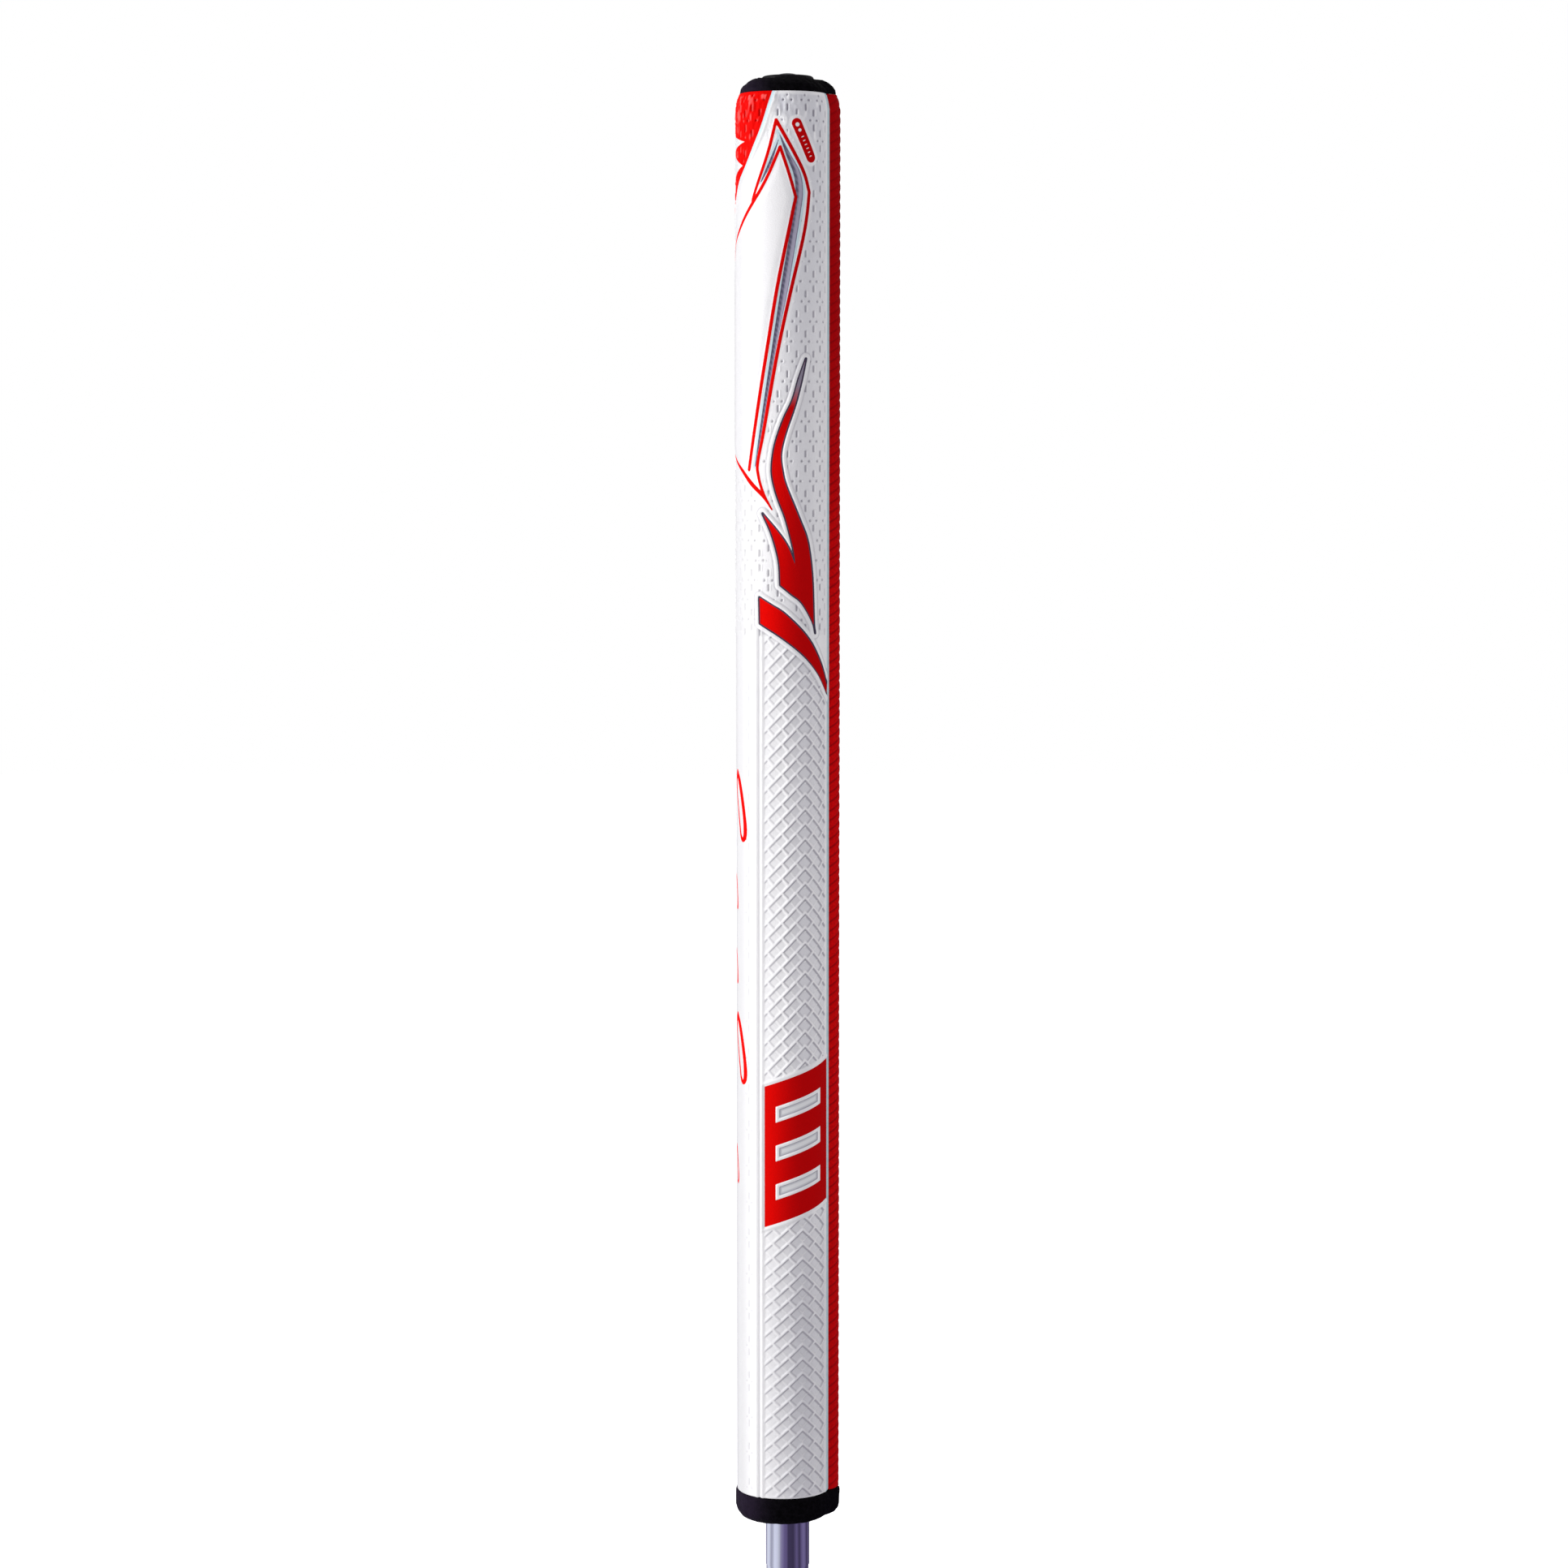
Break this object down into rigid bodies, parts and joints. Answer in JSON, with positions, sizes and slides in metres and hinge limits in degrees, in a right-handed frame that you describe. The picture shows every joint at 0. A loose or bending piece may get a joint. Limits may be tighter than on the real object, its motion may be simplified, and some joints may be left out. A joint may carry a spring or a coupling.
{
  "type": "golf grip",
  "caption": "Oversize no-taper putter grip on the butt of a stepped steel shaft, with wrapped white and red skin, a raised spine and a screw-in counterweight plug.",
  "frame": {"origin": "on the shaft axis at the grip's mouth, where the shaft comes out of the collar", "axes": "+Z along the shaft towards the butt plug, -Y the crowned thumb front, +Y the back with its raised spine, +X completes the frame"},
  "size_m": [0.0314, 0.0317, 0.4745],
  "materials": {
    "steel_shaft": "bright chromed stepped steel tube",
    "white_pu": "soft white polyurethane skin, embossed and printed red",
    "red_pu": "soft red polyurethane skin with ribbed texture",
    "trim_pu": "smooth cool grey seam trim",
    "black_rubber": "satin black moulded rubber",
    "foam": "fine closed cell EVA foam",
    "felt": "non-woven felt backing",
    "tape": "double-sided paper grip tape",
    "sleeve_nylon": "moulded black nylon with thread",
    "plug_black": "satin black moulded plug",
    "badge_black": "gloss domed disc",
    "seal_rubber": "soft nitrile rubber",
    "stud_steel": "bright steel stud",
    "weight_steel": "turned steel weight"
  },
  "bodies": {
    "grip_body": {"shaft_butt": "steel_shaft", "grip_tape": "tape", "foam_core": "foam", "skin_backing": "felt", "white_skin": "white_pu", "spine_backing": "felt", "spine_skin": "red_pu", "seam_trim_left": "trim_pu", "seam_trim_right": "trim_pu", "mouth_collar": "black_rubber", "butt_cap": "black_rubber", "port_sleeve": "sleeve_nylon"},
    "plug_seal": {"o_ring": "seal_rubber"},
    "weight_plug": {"port_plug": "plug_black", "plug_badge": "badge_black", "weight_stud": "stud_steel", "counterweight": "weight_steel", "damper_rings": "seal_rubber"}
  },
  "joints": [
    {"name": "plug_travel", "type": "slide", "parent": "grip_body", "child": "plug_seal", "axis": [0, 0, 1], "range_m": [0, 0.006]},
    {"name": "plug_turn", "type": "hinge", "parent": "plug_seal", "child": "weight_plug", "pos_m": [0, 0, 0.4415], "axis": [0, 0, 1], "range_deg": [0, 1440]}
  ],
  "couplings": [
    {"joint": "plug_turn", "follows": "plug_travel", "rad_per_m": 4188.8}
  ]
}
